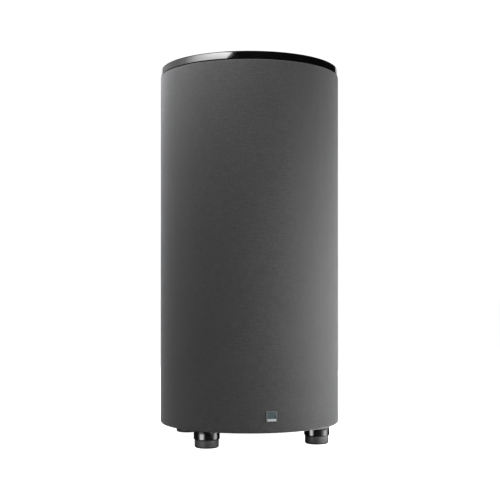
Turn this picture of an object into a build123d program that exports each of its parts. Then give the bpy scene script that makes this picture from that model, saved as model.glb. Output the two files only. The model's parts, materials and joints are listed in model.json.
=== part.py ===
from build123d import *
from math import cos, radians, sin, sqrt
import os

# A floor-standing cylindrical subwoofer: a fibre tube dressed in stretch fabric, a gloss top
# disc with a flared port, a 12-inch-class driver firing down between four screw-in feet, and an
# amplifier let into the back. Millimetres, +Z up, front at -Y, origin on the floor at the axis.

# --- driving dimensions -------------------------------------------------------------------
OUTER_R = 211.0          # fabric surface
TOTAL_H = 872.0
FABRIC_T = 1.5
TUBE_T = 12.0
CAP_T = 18.0
FOOT_H = 38.0            # floor to the cabinet's underside
BAFFLE_T = 22.0
SPIGOT_H = 12.0
SLIP = 0.2               # radial clearance of the discs in the tube
BAFFLE_HOLE_R = 138.0
BRACE_LOW = 430.0        # ring and cross that hold the port tube
BRACE_T = 18.0
WADDING_R = 188.0        # inner radius of the acoustic wadding
WADDING_Z = (455.0, 825.0)

PORT_R = 44.5            # bore of the port tube
PORT_WALL = 3.0
PORT_LOW = 302.0
PORT_HIGH = 832.0
MOUTH_ROUND = 30.0       # radius of the port mouth's flare
INNER_ROUND = 20.0       # radius of the flare at the tube's inner end

FOOT_RHO = 181.2         # feet to the cabinet's axis
COLLAR_R = 29.1
COLLAR_LOW = 19.0
PAD_R = 27.0

FLANGE_R = 150.0         # driver frame
FLANGE_T = 6.0
GASKET_T = 2.0
SCREW_RHO = 143.5
SCREW_COUNT = 8
ROLL_R = 118.0           # middle of the surround's roll
ROLL_RADIUS = 10.0
CONE_R = 108.0
CONE_FLAT_R = 99.0
CONE_DEPTH = 40.0
COIL_R = 37.9            # outside of the coil's former
TOP_PLATE_LOW = 125.0
PLATE_T = 12.0
FERRITE_T = 20.0
SPIDER_Z = 101.0

AMP_Z = 240.0            # centre of the amplifier panel
PLATE_Y = 192.0          # outer face of the panel
PANEL_W = 160.0
PANEL_H = 250.0
PANEL_T = 3.0
BEZEL_R = 212.7
RECESS = 0.4             # panel to the bezel's pocket
LEDGE = 8.0
BOX_Y = 110.0            # inner end of the amplifier's steel box
BOX_WALL = 2.0
LEAD_Z = 182.0           # height at which the driver's leads leave the box

BADGE_SIDE = 24.0
BADGE_Z = 75.0

# --- sizes that follow --------------------------------------------------------------------
TUBE_R = OUTER_R - FABRIC_T
TUBE_IN = TUBE_R - TUBE_T
CAP_LOW = TOTAL_H - CAP_T
TUBE_LOW = FOOT_H + FABRIC_T
TUBE_HIGH = CAP_LOW - FABRIC_T
PLUG_R = TUBE_IN - SLIP
PORT_OUT = PORT_R + PORT_WALL
FLANGE_LOW = FOOT_H
FLANGE_HIGH = FLANGE_LOW + FLANGE_T
SEAT_Z = FLANGE_HIGH + GASKET_T
TOP_PLATE_HIGH = TOP_PLATE_LOW + PLATE_T
BACK_PLATE_LOW = TOP_PLATE_HIGH + 2 * FERRITE_T
MAGNET_HIGH = BACK_PLATE_LOW + PLATE_T
BEZEL_W = PANEL_W + 8.0
BEZEL_H = PANEL_H + 10.0
CORNERS = {
    "front_left": (-1, -1),
    "front_right": (1, -1),
    "rear_left": (-1, 1),
    "rear_right": (1, 1),
}
FOOT_OFFSET = FOOT_RHO / sqrt(2)

# The panel's own frame: u to the right and v up as seen from behind, w outward.
PANEL = Plane(origin=(0, PLATE_Y, AMP_Z), x_dir=(-1, 0, 0), z_dir=(0, 1, 0))
BUTTON_V = 74.0
BUTTONS = {"standby": -42.0, "select": -14.0, "minus": 14.0, "plus": 42.0}
BUTTON_R = 6.0
BUTTON_STROKE = 0.8
SWITCH_FACE = -12.0                          # depth of the tactile switches behind the buttons
WINDOW = (0.0, 100.0, 112.0, 18.0)           # u, v, width, height
SINK = (0.0, -32.0, 132.0, 44.0)             # the heat sink's face: u, v, width, height
FIN_COUNT = 15
FIN_PITCH = 9.0
PHONO_U = (-58.0, -36.0)
PHONO_V = (40.0, 12.0)
PHONO_R = 4.15
PHONO_BORE = 1.65
TRIGGER_AT = (2.0, 40.0)
TRIGGER_BORE = 1.8
SERVICE_AT = (2.0, 12.0)
MODE_AT = (46.0, 26.0)
MODE_LEVER = 4.2
MODE_TRAVEL = 3.0                            # each way from the middle
ROCKER_AT = (44.0, -86.0)
ROCKER_TILT = 9.0
ROCKER_PIVOT = -3.0
INLET_AT = (-26.0, -86.0)
INLET_PINS = ((-7.0, -2.2), (7.0, -2.2), (0.0, 2.2))
PANEL_SCREWS = [(u, v) for u in (-76.2, 76.2) for v in (-119.0, -60.0, 0.0, 60.0, 119.0)]

UP = (Align.CENTER, Align.CENTER, Align.MIN)


# --- helpers ------------------------------------------------------------------------------
def rod(radius, low, high, x=0.0, y=0.0):
    """An upright cylinder from height low to height high."""
    return Pos(x, y, low) * Cylinder(radius, high - low, align=UP)


def ring(inner, outer, low, high, x=0.0, y=0.0):
    return rod(outer, low, high, x, y) - rod(inner, low - 1, high + 1, x, y)


def block(x0, x1, y0, y1, z0, z1):
    return Pos((x0 + x1) / 2, (y0 + y1) / 2, (z0 + z1) / 2) * Box(x1 - x0, y1 - y0, z1 - z0)


def turned(*edges):
    """A solid of revolution about Z from edges drawn as (radius, height)."""
    return revolve(Plane.XZ * make_face(Curve() + list(edges)), Axis.Z)


def around(count, radius, shape, start=0.0):
    """Copies of a shape on a circle about Z, as one compound of separate solids."""
    made = []
    for i in range(count):
        angle = start + 360.0 * i / count
        turn = radians(angle)
        made.append(Pos(radius * cos(turn), radius * sin(turn), 0) * Rot(0, 0, angle) * shape)
    return Compound(children=[s for part in made for s in part.solids()])


def group(shapes):
    """Separate solids written as one node."""
    return Compound(children=[s for shape in shapes for s in shape.solids()])


def slab(u, v, width, height, low, high, corner=0.0):
    """A plate on the panel, from depth low to depth high."""
    outline = RectangleRounded(width, height, corner) if corner else Rectangle(width, height)
    return PANEL * Pos(u, v, low) * extrude(outline, high - low)


def peg(u, v, radius, low, high):
    """A round bar that stands on the panel, from depth low to depth high."""
    return PANEL * Pos(u, v, low) * Cylinder(radius, high - low, align=UP)


# --- cabinet ------------------------------------------------------------------------------
def amp_cutout(play):
    width = BEZEL_W + 2 * play
    height = BEZEL_H + 2 * play
    return Pos(0, OUTER_R, AMP_Z) * Box(width, 2 * (OUTER_R - 100), height)


def badge_pegs(radius, depth):
    """Two pins that carry the badge, through the fabric and into the tube."""
    made = []
    for x in (-8.0, 8.0):
        made.append(Pos(x, -OUTER_R + depth / 2, BADGE_Z) * Rot(90, 0, 0) * Cylinder(radius, depth))
    return made[0] + made[1]


def cabinet_tube():
    tube = ring(TUBE_IN, TUBE_R, TUBE_LOW, TUBE_HIGH)
    return tube - amp_cutout(0.3) - badge_pegs(1.6, 16.0)


def fabric_wrap():
    lip_in = TUBE_IN + 0.5
    wrap = ring(TUBE_R, OUTER_R, FOOT_H, CAP_LOW)
    wrap += ring(lip_in, TUBE_R + 0.5, FOOT_H, TUBE_LOW)
    wrap += ring(lip_in + 3, TUBE_R + 0.5, TUBE_HIGH, CAP_LOW)
    rims = [e for e in wrap.edges().filter_by(GeomType.CIRCLE) if e.radius > OUTER_R - 0.1]
    wrap = fillet(rims, 1.4)
    return wrap - amp_cutout(0.5) - badge_pegs(1.6, 16.0)


def top_cap():
    cap = rod(TUBE_R, CAP_LOW, TOTAL_H)
    rims = cap.edges().filter_by(GeomType.CIRCLE).sort_by(Axis.Z)
    cap = fillet(rims[-1:], 3.0)
    rims = cap.edges().filter_by(GeomType.CIRCLE).sort_by(Axis.Z)
    cap = chamfer(rims[:1], 1.2)
    cap += rod(PLUG_R, CAP_LOW - SPIGOT_H, CAP_LOW + 1)
    mouth = PORT_R + MOUTH_ROUND
    cap -= rod(mouth + 2, CAP_LOW - SPIGOT_H - 1, TOTAL_H + 1)
    return cap - rod(mouth + 5.7, TOTAL_H - PORT_WALL, TOTAL_H + 1)


def bottom_baffle():
    disc = rod(PLUG_R, FOOT_H, FOOT_H + BAFFLE_T)
    disc -= rod(BAFFLE_HOLE_R, FOOT_H - 1, FOOT_H + BAFFLE_T + 1)
    disc -= rod(FLANGE_R + 0.5, FOOT_H - 1, SEAT_Z)
    for hole in around(SCREW_COUNT, SCREW_RHO, rod(3.0, SEAT_Z - 1, SEAT_Z + 12), 22.5).solids():
        disc -= hole
    for sx, sy in CORNERS.values():
        disc -= rod(5.55, FOOT_H - 1, FOOT_H + BAFFLE_T + 1, sx * FOOT_OFFSET, sy * FOOT_OFFSET)
    return disc


def port_brace():
    low, high = BRACE_LOW, BRACE_LOW + BRACE_T
    rim, hub, spoke = 176.0, 66.0, 26.0
    brace = ring(rim, PLUG_R, low, high)
    for angle in (0, 90):
        brace += Pos(0, 0, low) * Rot(0, 0, angle) * Box(2 * rim + 10, spoke, BRACE_T, align=UP)
    brace += rod(hub, low, high)
    return brace - rod(PORT_OUT + 0.2, low - 1, high + 1)


def acoustic_wadding():
    return ring(WADDING_R, PLUG_R, *WADDING_Z)


def build_cabinet():
    return {
        "cabinet_tube": cabinet_tube(),
        "fabric_wrap": fabric_wrap(),
        "top_cap": top_cap(),
        "bottom_baffle": bottom_baffle(),
        "port_brace": port_brace(),
        "acoustic_wadding": acoustic_wadding(),
    }


# --- port ---------------------------------------------------------------------------------
def flare(shoulder, flip, round_r, flange_r, sleeve_h, straight):
    """A moulded flare with a socket for the port tube. flip is 1 upwards and -1 downwards."""
    socket_in = PORT_OUT + 0.1
    socket_out = socket_in + PORT_WALL
    start = shoulder + flip * straight                # where the curve leaves the bore
    end = start + flip * round_r                      # plane of the mouth
    centre_r = PORT_R + round_r
    outer_round = round_r - PORT_WALL
    outer_drop = sqrt(outer_round**2 - (centre_r - socket_out) ** 2)
    half = radians(45)
    inner_mid = (centre_r - round_r * cos(half), start + flip * round_r * sin(half))
    begin = (socket_out, start + flip * outer_drop)
    finish = (centre_r, start + flip * outer_round)
    turn = radians(65)
    outer_mid = (centre_r - outer_round * cos(turn), start + flip * outer_round * sin(turn))
    return turned(
        Polyline((PORT_R, start), (PORT_R, shoulder), (socket_in, shoulder),
                 (socket_in, shoulder - flip * sleeve_h), (socket_out, shoulder - flip * sleeve_h),
                 begin),
        ThreePointArc(begin, outer_mid, finish),
        Polyline(finish, (flange_r, finish[1]), (flange_r, end), (centre_r, end)),
        ThreePointArc((centre_r, end), inner_mid, (PORT_R, start)),
    )


def build_port():
    mouth_r = PORT_R + MOUTH_ROUND + 5.5
    return {
        "port_mouth": flare(PORT_HIGH, 1, MOUTH_ROUND, mouth_r, 32.0, 10.0),
        "port_tube": ring(PORT_R, PORT_OUT, PORT_LOW, PORT_HIGH),
        "port_inner_flare": flare(
            PORT_LOW, -1, INNER_ROUND, PORT_R + INNER_ROUND + 2, 32.0, 10.0
        ),
    }


# --- driver -------------------------------------------------------------------------------
def driver_basket():
    cup_low = SPIDER_Z - 3
    frame = ring(126.0, FLANGE_R, FLANGE_LOW, FLANGE_HIGH)
    frame += ring(80.0, 84.0, cup_low, TOP_PLATE_LOW)
    frame += ring(72.0, 84.0, cup_low, SPIDER_Z)
    frame += ring(43.0, 84.0, TOP_PLATE_LOW - 4, TOP_PLATE_LOW)
    arm = extrude(
        Plane.XZ * make_face(Polyline(
            (124, FLANGE_HIGH - 2), (136, FLANGE_HIGH - 2), (136, FLANGE_HIGH + 8),
            (92, TOP_PLATE_LOW - 2), (82, TOP_PLATE_LOW - 2), (82, cup_low), (84, cup_low),
            (124, FLANGE_HIGH - 2),
        )),
        7.0, both=True,
    )
    for i in range(6):
        frame += Rot(0, 0, 60 * i) * arm
    for hole in around(SCREW_COUNT, SCREW_RHO, rod(3.2, FLANGE_LOW - 1, SEAT_Z), 22.5).solids():
        frame -= hole
    return frame


def driver_gasket():
    pad = ring(BAFFLE_HOLE_R + 0.5, FLANGE_R - 0.5, FLANGE_HIGH, SEAT_Z)
    for hole in around(SCREW_COUNT, SCREW_RHO, rod(3.4, FLANGE_HIGH - 1, SEAT_Z + 1), 22.5).solids():
        pad -= hole
    return pad


def driver_screws():
    head = rod(4.5, FLANGE_LOW - 4, FLANGE_LOW)
    socket = Pos(0, 0, FLANGE_LOW - 5) * extrude(RegularPolygon(2.3, 6), 3.4)
    shank = rod(2.95, FLANGE_LOW - 0.5, SEAT_Z + 11)
    return around(SCREW_COUNT, SCREW_RHO, head - socket + shank, 22.5)


def yoke():
    core = rod(80.0, BACK_PLATE_LOW, MAGNET_HIGH) + rod(36.4, TOP_PLATE_LOW, BACK_PLATE_LOW + 1)
    rims = core.edges().filter_by(GeomType.CIRCLE).sort_by(Axis.Z)
    core = chamfer([e for e in rims if e.radius > 79 and e.center().Z > MAGNET_HIGH - 1], 2.0)
    return core - rod(12.0, TOP_PLATE_LOW - 1, MAGNET_HIGH + 1)


def driver_terminals():
    """A block on the basket's cup, with two tags."""
    body = block(-13, 13, 84, 94, 104, 120) + block(-13, 13, 82, 85, 104, 120)
    body -= rod(84.0, 100, 124)
    return group([body] + [block(x - 2, x + 2, 94, 101.5, 109.5, 110.5) for x in (-6, 6)])


def cone():
    low = FOOT_H
    high = low + CONE_DEPTH
    neck = COIL_R + 0.1
    return turned(Polyline(
        (neck, high), (CONE_FLAT_R, low), (CONE_R, low), (CONE_R, low + 2),
        (CONE_FLAT_R + 1, low + 2), (neck, high + 2.6), (neck, high),
    ))


def dust_cap():
    rim_r = 52.0
    rise = 14.0
    rim_z = FOOT_H + CONE_DEPTH * (CONE_FLAT_R - rim_r) / (CONE_FLAT_R - COIL_R - 0.1)
    ball = (rim_r**2 + rise**2) / (2 * rise)
    centre = rim_z - rise + ball
    dome = Pos(0, 0, centre) * (Sphere(ball) - Sphere(ball - 1.5))
    return dome & rod(rim_r + 1, rim_z - rise - 1, rim_z)


def surround():
    top = FOOT_H
    lip = 1.5
    roll = ring(ROLL_R - ROLL_RADIUS - 8, ROLL_R - ROLL_RADIUS + 1, top - lip, top)
    roll += ring(ROLL_R + ROLL_RADIUS - 1, ROLL_R + ROLL_RADIUS + 9.5, top - lip, top)
    left, right = ROLL_R - ROLL_RADIUS, ROLL_R + ROLL_RADIUS
    roll += turned(
        ThreePointArc((left, top), (ROLL_R, top - ROLL_RADIUS), (right, top)),
        Line((right, top), (right - lip, top)),
        ThreePointArc((right - lip, top), (ROLL_R, top - ROLL_RADIUS + lip), (left + lip, top)),
        Line((left + lip, top), (left, top)),
    )
    return roll


def spider():
    """A corrugated disc from the coil's former to the landing in the basket."""
    inner, first, last, outer = COIL_R + 0.1, 43.0, 70.6, 79.5
    low = SPIDER_Z + 0.1
    waves = 4
    pitch = (last - first) / waves
    thick = 0.9
    wall = [Line((inner, low), (first, low))]
    back = [Line((first, low + thick), (inner, low + thick))]
    for i in range(waves):
        start = first + i * pitch
        side = 1 if i % 2 == 0 else -1
        for level, into in ((low, wall), (low + thick, back)):
            into.append(ThreePointArc(
                (start, level), (start + pitch / 2, level + 2.4 * side), (start + pitch, level)
            ))
    wall.append(Line((last, low), (outer, low)))
    back.append(Line((outer, low + thick), (last, low + thick)))
    ends = [Line((outer, low), (outer, low + thick)), Line((inner, low + thick), (inner, low))]
    return turned(*wall, *back, *ends)


def tinsel_leads():
    """Two braids that slacken from the terminal block to the cone's neck."""
    made = []
    for x in (-6.0, 6.0):
        route = FilletPolyline(
            (x, 88.5, 104), (x, 88.5, 93), (x, 76, 86), (x, 66, 90), (x, 55, 72.4), radius=4.0
        )
        made.append(sweep(Plane(route @ 0, z_dir=route % 0) * Circle(0.9), route))
    return group(made)


def build_driver():
    return {
        "driver_basket": driver_basket(),
        "driver_gasket": driver_gasket(),
        "driver_screws": driver_screws(),
        "magnet_top_plate": ring(40.5, 80.0, TOP_PLATE_LOW, TOP_PLATE_HIGH),
        "ferrite_magnets": group(
            ring(46.0, 90.0, TOP_PLATE_HIGH + i * FERRITE_T, TOP_PLATE_HIGH + (i + 1) * FERRITE_T)
            for i in range(2)
        ),
        "magnet_yoke": yoke(),
        "driver_terminals": driver_terminals(),
        "surround": surround(),
        "spider": spider(),
        "tinsel_leads": tinsel_leads(),
        "cone": cone(),
        "dust_cap": dust_cap(),
        "coil_former": ring(COIL_R - 0.7, COIL_R, 72.0, TOP_PLATE_LOW + 26),
        "coil_winding": ring(COIL_R, COIL_R + 1.9, TOP_PLATE_LOW - 14, TOP_PLATE_LOW + 26),
    }


# --- amplifier ----------------------------------------------------------------------------
def amp_bezel():
    """A frame that turns the cabinet's round back into a flat seat for the panel."""
    envelope = rod(BEZEL_R, AMP_Z - 150, AMP_Z + 150)
    flange = slab(0, 0, BEZEL_W + 20, BEZEL_H + 18, -20, 40, corner=14.0) & envelope
    flange -= rod(OUTER_R + 0.05, AMP_Z - 150, AMP_Z + 150)
    body = slab(0, 0, BEZEL_W, BEZEL_H, -13, 40) & envelope
    frame = flange + body
    rims = [
        e for e in frame.edges()
        if e.center().Y > 0 and sqrt(e.center().X ** 2 + e.center().Y ** 2) > BEZEL_R - 12
        and all(abs(sqrt(p.X**2 + p.Y**2) - BEZEL_R) < 0.01 for p in (e @ 0, e @ 0.5, e @ 1))
    ]
    frame = fillet(rims, 1.0)
    frame -= slab(0, 0, PANEL_W + 2 * RECESS, PANEL_H + 2 * RECESS, -PANEL_T, 40, corner=6.4)
    frame -= slab(0, 0, PANEL_W - 2 * LEDGE, PANEL_H - 2 * LEDGE, -20, 0, corner=4.0)
    for u, v in PANEL_SCREWS:
        frame -= peg(u, v, 1.95, -12, 0)
    return frame


def amp_panel():
    plate = slab(0, 0, PANEL_W, PANEL_H, -PANEL_T, 0, corner=6.0)
    u, v, width, height = WINDOW
    plate -= slab(u, v, width + 0.4, height + 0.4, -1.2, 1, corner=3.2)
    u, v, width, height = SINK
    plate -= slab(u, v, width + 0.6, height + 0.6, -4, 1, corner=2.3)
    for at in BUTTONS.values():
        plate -= peg(at, BUTTON_V, BUTTON_R + 0.3, -4, 1)
    for u in PHONO_U:
        for v in PHONO_V:
            plate -= peg(u, v, 4.7, -4, 1)
    plate -= peg(*TRIGGER_AT, 3.2, -4, 1)
    plate -= slab(*SERVICE_AT, 13.7, 6.3, -4, 1)
    plate -= slab(*MODE_AT, 15.4, 6.9, -4, 1)
    plate -= slab(*ROCKER_AT, 13.4, 26.4, -4, 1)
    plate -= slab(*INLET_AT, 27.4, 19.9, -4, 1)
    for u, v in PANEL_SCREWS:
        plate -= peg(u, v, 2.1, -4, 1)
    return plate


def amp_screws():
    made = []
    for u, v in PANEL_SCREWS:
        screw = peg(u, v, 3.4, 0, 2.0) - (PANEL * Pos(u, v, 0.8) * extrude(RegularPolygon(1.5, 6), 2))
        made.append(screw + peg(u, v, 1.9, -11, 0.5))
    return group(made)


def amp_back_box():
    """The steel box that keeps the cabinet's air away from the electronics."""
    half_w = PANEL_W / 2 - LEDGE - 0.5
    half_h = PANEL_H / 2 - LEDGE - 0.5
    high_y = PLATE_Y - PANEL_T
    shell = block(-half_w, half_w, BOX_Y, high_y, AMP_Z - half_h, AMP_Z + half_h)
    shell = fillet(shell.edges().filter_by(Axis.Y), 3.5)
    shell -= block(
        BOX_WALL - half_w, half_w - BOX_WALL, BOX_Y + BOX_WALL, high_y + 1,
        AMP_Z - half_h + BOX_WALL, AMP_Z + half_h - BOX_WALL,
    )
    return shell - lead_gland(7.0, BOX_Y - 1, BOX_Y + 4)


def lead_gland(radius, low, high):
    return Pos(0, (low + high) / 2, LEAD_Z) * Rot(90, 0, 0) * Cylinder(radius, high - low)


def lead_grommet():
    ring_out = lead_gland(9.0, BOX_Y - 2, BOX_Y) + lead_gland(6.95, BOX_Y - 1, BOX_Y + 3)
    for x in (-4.0, 4.0):
        ring_out -= Pos(x, BOX_Y, LEAD_Z) * Rot(90, 0, 0) * Cylinder(1.5, 12)
    return ring_out


def speaker_leads():
    """Two wires from the amplifier's board, through the grommet, to the driver's tags."""
    made = []
    for side in (-1, 1):
        route = FilletPolyline(
            (4 * side, BOX_Y + 7.5, LEAD_Z), (4 * side, BOX_Y - 9.5, LEAD_Z),
            (6 * side, BOX_Y - 9.5, 110.6), radius=5.5
        )
        made.append(sweep(Plane(route @ 0, z_dir=route % 0) * Circle(1.4), route))
    return group(made)


def amp_board():
    """The amplifier's circuit board, with its reservoir capacitors soldered to it."""
    made = [block(-66, 66, BOX_Y + 8, BOX_Y + 10, AMP_Z - 110, AMP_Z + 48)]
    for x, z in ((-44, -60), (-44, -88), (-14, -60), (-14, -88)):
        can = Pos(x, BOX_Y + 10 + 18, AMP_Z + z) * Rot(90, 0, 0) * Cylinder(12.0, 36)
        made.append(chamfer(can.edges().filter_by(GeomType.CIRCLE), 1.0))
    return group(made)


def amp_heatsink():
    """A finned block in a window of the panel, and the web that brings it the board's heat."""
    u, v, width, height = SINK
    sink = slab(u, v, width, height, -8, 0.6, corner=2.0)
    for i in range(FIN_COUNT):
        at = u + FIN_PITCH * (i - (FIN_COUNT - 1) / 2)
        sink += slab(at, v, 3.0, height - 4, 0, 4.6)
    return sink + block(-55, 55, BOX_Y + 10, PLATE_Y - 7, AMP_Z - 34, AMP_Z - 29)


def amp_transformer():
    """The switching supply's transformer: a ferrite E core with its winding."""
    low = BOX_Y + 10
    core = block(18, 58, low + 2, low + 32, AMP_Z - 100, AMP_Z - 86)
    core += block(18, 58, low + 2, low + 32, AMP_Z - 66, AMP_Z - 52)
    core += block(18, 25, low + 2, low + 32, AMP_Z - 87, AMP_Z - 65)
    core += block(51, 58, low + 2, low + 32, AMP_Z - 87, AMP_Z - 65)
    winding = block(27, 49, low, low + 34, AMP_Z - 85.5, AMP_Z - 66.5)
    return group([core, winding])


def control_board():
    """The display's circuit board, with the tactile switches that the buttons press."""
    board = slab(0, 82, 118, 46, SWITCH_FACE - 4.6, SWITCH_FACE - 3)
    switches = [slab(u, BUTTON_V, 6, 6, SWITCH_FACE - 3, SWITCH_FACE) for u in BUTTONS.values()]
    return group([board] + switches)


def display_window():
    u, v, width, height = WINDOW
    return slab(u, v, width, height, -1.2, 0.6, corner=3.0)


def push_button(u):
    """A cap on a stem, held behind the panel by a collar."""
    cap = peg(u, BUTTON_V, BUTTON_R, -3.6, 2.4)
    cap = fillet(cap.edges().filter_by(GeomType.CIRCLE).sort_by(Axis.Y)[-1:], 0.8)
    collar = peg(u, BUTTON_V, BUTTON_R + 1.4, -5, -3.4)
    return cap + collar + peg(u, BUTTON_V, 2.0, SWITCH_FACE + BUTTON_STROKE + 0.2, -4)


def phono_shells():
    made = []
    for u in PHONO_U:
        for v in PHONO_V:
            shell = peg(u, v, PHONO_R, -2.8, 11.5) + peg(u, v, 6.2, 0, 1.5)
            shell = chamfer(shell.edges().filter_by(GeomType.CIRCLE).sort_by(Axis.Y)[-1:], 0.4)
            made.append(shell - peg(u, v, 3.2, -4, 13))
    return group(made)


def phono_insulators():
    made = []
    for u in PHONO_U:
        for v in PHONO_V:
            made.append(peg(u, v, 3.15, -9, 10.5) - peg(u, v, PHONO_BORE, 1.0, 12))
    return group(made)


def trigger_jack():
    u, v = TRIGGER_AT
    jack = slab(u, v, 11, 11, -16, -PANEL_T) + peg(u, v, 3.1, -4, 2.2)
    jack += PANEL * Pos(u, v, 0) * extrude(RegularPolygon(4.9, 6), 1.6)
    return jack - peg(u, v, TRIGGER_BORE, -11.8, 3)


def service_port():
    """A small data socket: a pressed shell and the tongue inside it."""
    u, v = SERVICE_AT
    shell = slab(u, v, 13.2, 5.8, -13, 0.4) - slab(u, v, 12.3, 4.9, -12, 2)
    return group([shell, slab(u, v + 1.2, 11.2, 1.7, -12, -0.8)])


def mode_switch_body():
    u, v = MODE_AT
    body = slab(u, v, 15.0, 6.5, -9, 0) + slab(u, v, 18.0, 9.0, 0, 1.0)
    return body - slab(u, v, MODE_LEVER + 2 * MODE_TRAVEL + 0.6, 3.8, -6, 2)


def mode_switch_lever():
    u, v = MODE_AT
    lever = slab(u, v, MODE_LEVER, 3.4, -5.9, 2.6)
    return fillet(lever.edges().filter_by(Axis.Z).sort_by(Axis.Y)[-2:], 0.5)


def power_switch_body():
    u, v = ROCKER_AT
    body = slab(u, v, 13.0, 26.0, -22, 0) + slab(u, v, 16.0, 29.0, 0, 1.8, corner=1.5)
    body -= slab(u, v, 10.6, 22.6, -14, 3)
    return body - (PANEL * Pos(u, v, ROCKER_PIVOT) * Rot(0, 90, 0) * Cylinder(1.55, 12.6))


def power_rocker():
    """A rocker on two trunnions, stored tipped to its on side."""
    u, v = ROCKER_AT
    half = 10.2
    profile = Polyline(
        (-half, 5.2), (0.0, 3.9), (half, 5.2), (half - 0.4, 1.0), (3.5, -4.0), (-3.5, -4.0),
        (0.4 - half, 1.0), (-half, 5.2),
    )
    cap = extrude(Plane.YZ * make_face(profile), 4.9, both=True)
    cap += Rot(0, 90, 0) * Cylinder(1.5, 12.2)
    return PANEL * Pos(u, v, ROCKER_PIVOT) * Rot(-ROCKER_TILT, 0, 0) * cap


def mains_inlet():
    """A three-pin appliance inlet: a shroud with two cut corners, and its flange."""
    u, v = INLET_AT
    outline = chamfer(Rectangle(24.2, 16.4).vertices().sort_by(Axis.Y)[-2:], 4.6)
    cavity = PANEL * Pos(u, v, -16) * extrude(outline, 20)
    body = slab(u, v, 27.0, 19.5, -24, 0) + slab(u, v, 32.0, 25.0, 0, 2.0, corner=2.0)
    body -= cavity
    for du, dv in INLET_PINS:
        body -= slab(u + du, v + dv, 2.1, 4.1, -26, -10)
    return body


def mains_inlet_pins():
    u, v = INLET_AT
    return group(slab(u + du, v + dv, 2.0, 4.0, -29, -2) for du, dv in INLET_PINS)


def build_amplifier():
    parts = {
        "amp_bezel": amp_bezel(),
        "amp_panel": amp_panel(),
        "amp_screws": amp_screws(),
        "amp_back_box": amp_back_box(),
        "lead_grommet": lead_grommet(),
        "speaker_leads": speaker_leads(),
        "amp_board": amp_board(),
        "amp_heatsink": amp_heatsink(),
        "amp_transformer": amp_transformer(),
        "control_board": control_board(),
        "display_window": display_window(),
        "phono_shells": phono_shells(),
        "phono_insulators": phono_insulators(),
        "trigger_jack": trigger_jack(),
        "service_port": service_port(),
        "mode_switch_body": mode_switch_body(),
        "mode_switch_lever": mode_switch_lever(),
        "power_switch_body": power_switch_body(),
        "power_rocker": power_rocker(),
        "mains_inlet": mains_inlet(),
        "mains_inlet_pins": mains_inlet_pins(),
    }
    for name, u in BUTTONS.items():
        parts[f"button_{name}"] = push_button(u)
    return parts


# --- feet ---------------------------------------------------------------------------------
def foot_collar(x, y):
    collar = rod(COLLAR_R, COLLAR_LOW, FOOT_H, x, y)
    rims = collar.edges().filter_by(GeomType.CIRCLE)
    collar = fillet(rims, 0.8)
    collar -= rod(PAD_R - 2.6, COLLAR_LOW - 1, FOOT_H - 5, x, y)
    return collar - rod(4.2, COLLAR_LOW, FOOT_H + 1, x, y)


def foot_pad(x, y):
    base = rod(PAD_R, 0, COLLAR_LOW, x, y)
    base = fillet(base.edges().filter_by(GeomType.CIRCLE).sort_by(Axis.Z)[:1], 4.6)
    pad = base + rod(PAD_R - 2.8, COLLAR_LOW - 1, FOOT_H - 5, x, y)
    return pad - rod(8.2, 22, FOOT_H, x, y)


def foot_bolts():
    made = []
    for sx, sy in CORNERS.values():
        x, y = sx * FOOT_OFFSET, sy * FOOT_OFFSET
        head = Pos(x, y, FOOT_H - 10.3) * extrude(RegularPolygon(7.4, 6), 5.3)
        made.append(head + rod(3.95, FOOT_H - 6, FOOT_H + 19, x, y))
    return group(made)


def foot_inserts():
    """Threaded inserts in the baffle, one for each foot's bolt."""
    return group(
        ring(4.0, 5.5, FOOT_H + 0.2, FOOT_H + 18, sx * FOOT_OFFSET, sy * FOOT_OFFSET)
        for sx, sy in CORNERS.values()
    )


def build_feet():
    parts = {"foot_bolts": foot_bolts(), "foot_inserts": foot_inserts()}
    for name, (sx, sy) in CORNERS.items():
        x, y = sx * FOOT_OFFSET, sy * FOOT_OFFSET
        parts[f"foot_collar_{name}"] = foot_collar(x, y)
        parts[f"foot_pad_{name}"] = foot_pad(x, y)
    return parts


# --- badge --------------------------------------------------------------------------------
def badge_frame():
    """A blank plate with a raised rim, on two pins."""
    front = -BEZEL_R
    plate = block(-BADGE_SIDE / 2, BADGE_SIDE / 2, front, 0, BADGE_Z - BADGE_SIDE / 2,
                  BADGE_Z + BADGE_SIDE / 2)
    plate -= rod(OUTER_R, BADGE_Z - 30, BADGE_Z + 30)
    plate = chamfer(plate.faces().sort_by(Axis.Y)[0].edges(), 0.5)
    inset = BADGE_SIDE / 2 - 1.6
    plate -= block(-inset, inset, front - 1, front + 0.7, BADGE_Z - inset, BADGE_Z + inset)
    return plate + badge_pegs(1.5, 9.0)


def badge_inset():
    half = BADGE_SIDE / 2 - 1.7
    front = -BEZEL_R + 0.2
    return block(-half, half, front, front + 0.5, BADGE_Z - half, BADGE_Z + half)


def build_badge():
    return {"badge_frame": badge_frame(), "badge_inset": badge_inset()}


def main():
    os.makedirs("parts", exist_ok=True)
    made = {}
    for section in (build_cabinet, build_port, build_driver, build_amplifier, build_feet,
                    build_badge):
        made.update(section())
    for name, shape in made.items():
        export_step(shape, f"parts/{name}.step")
    print(len(made), "nodes")


main()
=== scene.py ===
import json
import math

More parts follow.
